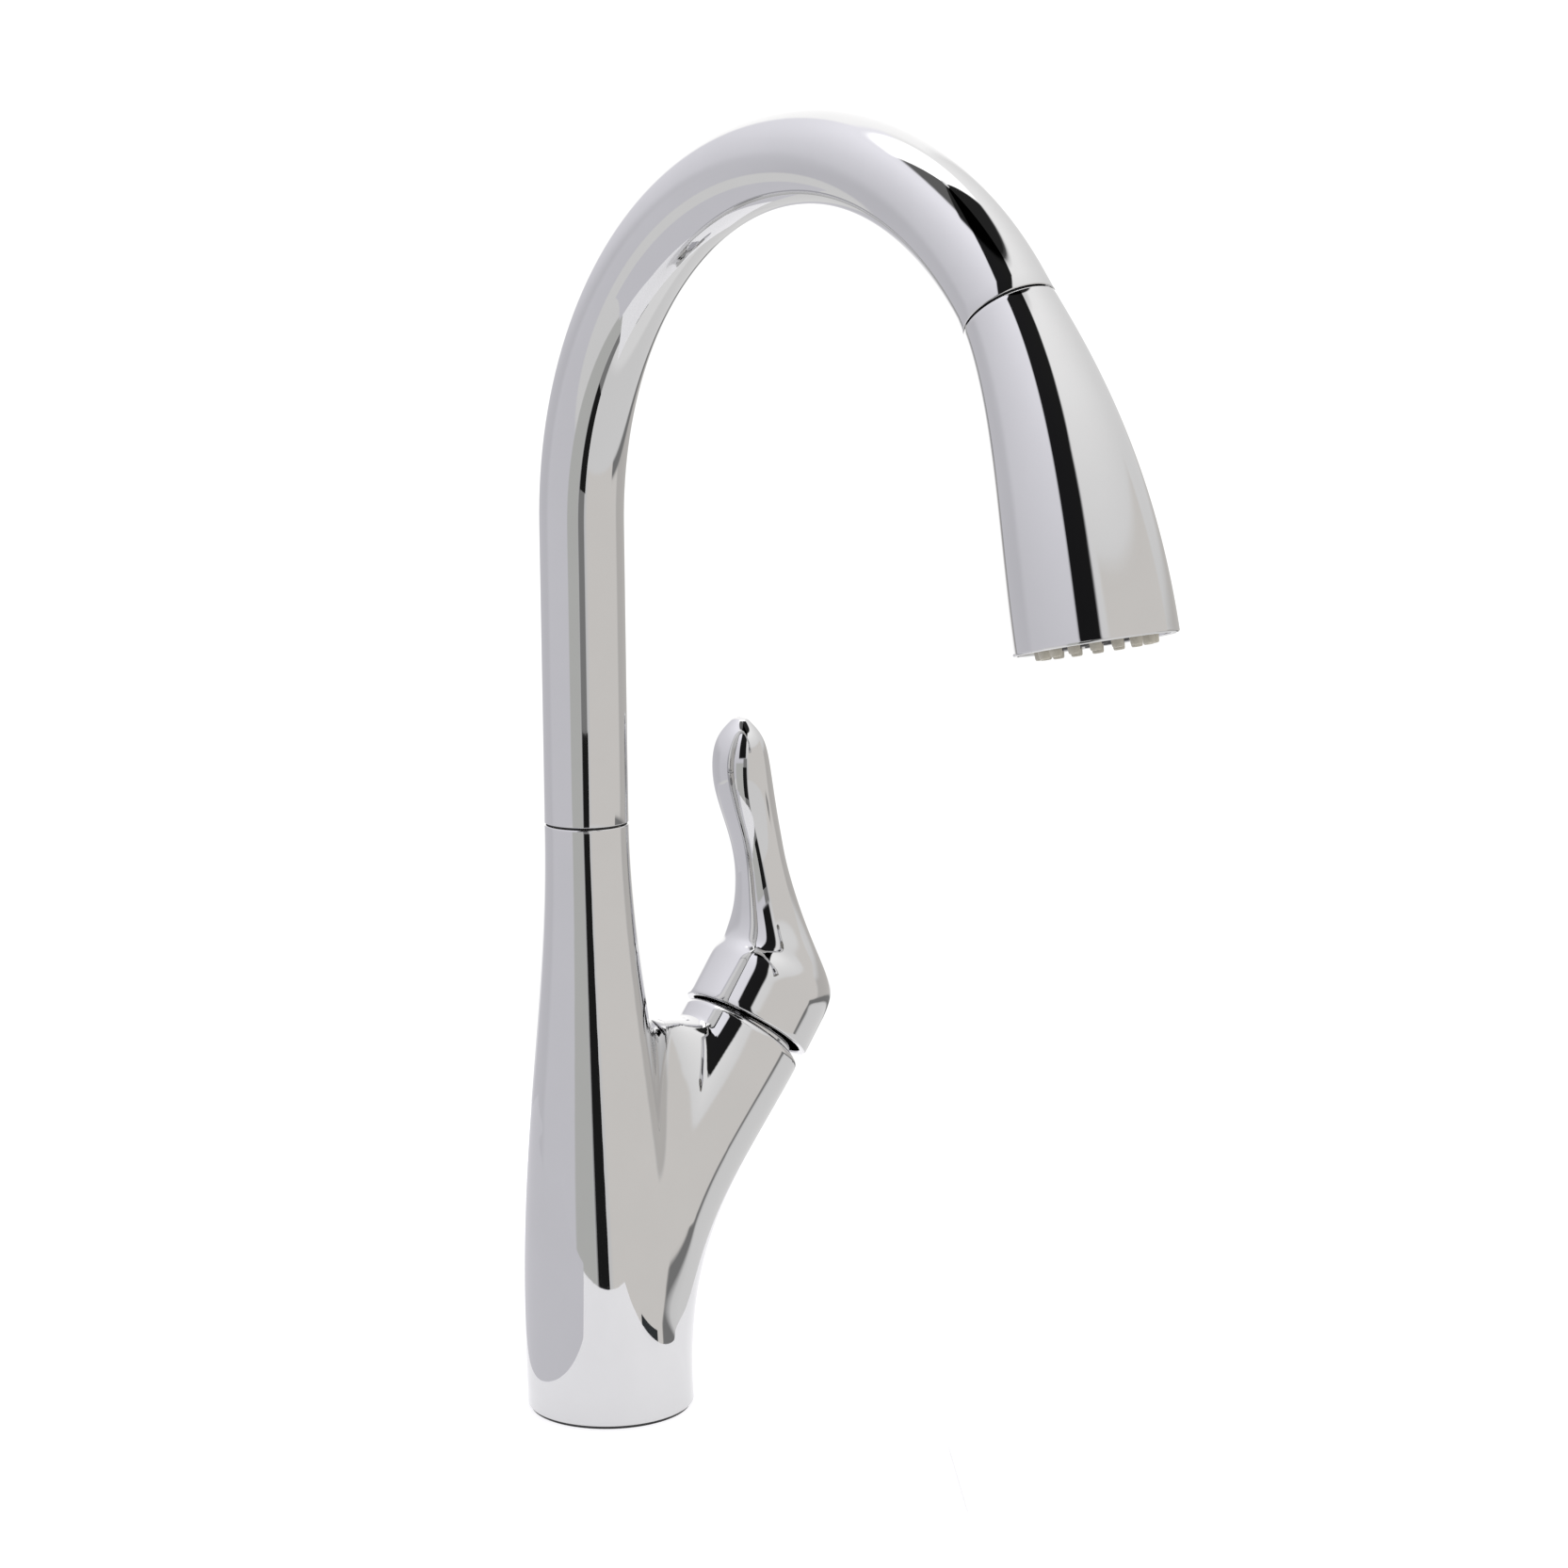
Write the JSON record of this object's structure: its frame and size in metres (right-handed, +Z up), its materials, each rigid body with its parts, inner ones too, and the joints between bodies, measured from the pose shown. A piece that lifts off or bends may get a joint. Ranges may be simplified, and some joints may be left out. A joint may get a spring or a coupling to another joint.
{
  "type": "pull down kitchen faucet",
  "caption": "Single-lever kitchen faucet with a high arched swivel spout, a docked pull-down spray head with a rocker button, and a side lever valve.",
  "frame": {"origin": "on the swivel axis at the worktop surface", "axes": "+Z up, spout towards -Y, lever side towards +X"},
  "size_m": [0.1207, 0.2875, 0.513],
  "materials": {
    "chrome": "bright polished chrome plate",
    "brass": "machined brass, unplated",
    "copper": "drawn copper tube",
    "steel": "stainless steel, turned",
    "black_rubber": "black nitrile rubber",
    "nozzle_rubber": "off-white soft silicone",
    "grey_plastic": "dark grey moulded acetal",
    "white_plastic": "white moulded acetal",
    "blue_plastic": "blue moulded check valve",
    "black_plastic": "black moulded rocker with a soft skin",
    "fibre": "red-brown vulcanised fibre",
    "ceramic": "lapped alumina",
    "hose_braid": "grey braided nylon sleeve"
  },
  "bodies": {
    "body": {"body_shell": "chrome", "deck_gasket": "black_rubber", "inlet_block": "brass", "mounting_shank": "brass", "fibre_washer": "fibre", "steel_washer": "steel", "mounting_nut": "brass", "hot_tube": "copper", "cold_tube": "copper", "mixed_tube": "copper", "valve_socket": "brass", "cartridge_housing": "white_plastic", "ceramic_disc_fixed": "ceramic", "cartridge_seal": "black_rubber", "cartridge_nut": "brass", "bonnet_ring": "chrome", "glide_rings": "white_plastic", "seam_washer": "black_rubber"},
    "spout": {"spout_tube": "chrome", "spout_hub": "brass", "hub_oring": "black_rubber", "retaining_clip": "steel", "dock_collar": "grey_plastic", "spray_hose": "hose_braid", "hose_end_fitting": "brass"},
    "spray_head": {"head_shell": "chrome", "head_core": "grey_plastic", "hose_ferrule": "steel", "hose_nut": "brass", "check_valve": "blue_plastic", "face_plate": "grey_plastic", "spray_nozzles": "nozzle_rubber", "aerator_ring": "grey_plastic", "aerator_screen": "steel", "face_seal": "black_rubber", "button_pin": "steel"},
    "button": {"spray_button": "black_plastic"},
    "spool": {"diverter_spool": "white_plastic"},
    "carrier": {"stem_carrier": "grey_plastic", "stem_pin": "steel"},
    "lever": {"handle": "chrome", "lever_stem": "steel", "set_screw": "steel"},
    "flow_disc": {"disc_driver": "grey_plastic", "ceramic_disc_moving": "ceramic"}
  },
  "joints": [
    {"name": "spout_swivel", "type": "hinge", "parent": "body", "child": "spout", "pos_m": [0, 0, 0.2], "axis": [0, 0, 1], "continuous": true},
    {"name": "head_pull", "type": "slide", "parent": "spout", "child": "spray_head", "axis": [0, -0.5878, -0.809], "range_m": [0, 0.45], "deforming": ["spray_hose"]},
    {"name": "spray_toggle", "type": "hinge", "parent": "spray_head", "child": "button", "pos_m": [0, -0.21354, 0.30855], "axis": [1, 0, 0], "range_deg": [-3, 3]},
    {"name": "diverter_slide", "type": "slide", "parent": "spray_head", "child": "spool", "axis": [0, -0.225, -0.9744], "range_m": [-0.0008, 0.0008]},
    {"name": "temperature_turn", "type": "hinge", "parent": "body", "child": "carrier", "pos_m": [0.0663, 0, 0.1215], "axis": [0.5878, 0, 0.809], "range_deg": [-45, 45]},
    {"name": "flow_lift", "type": "hinge", "parent": "carrier", "child": "lever", "pos_m": [0.07035, 0, 0.11856], "axis": [0, 1, 0], "range_deg": [0, 13]},
    {"name": "disc_slide", "type": "slide", "parent": "carrier", "child": "flow_disc", "axis": [-0.809, 0, 0.5878], "range_m": [0, 0.0058]}
  ],
  "couplings": [
    {"joint": "disc_slide", "follows": "flow_lift", "m_per_rad": 0.024389},
    {"joint": "diverter_slide", "follows": "spray_toggle", "m_per_rad": 0.008}
  ]
}
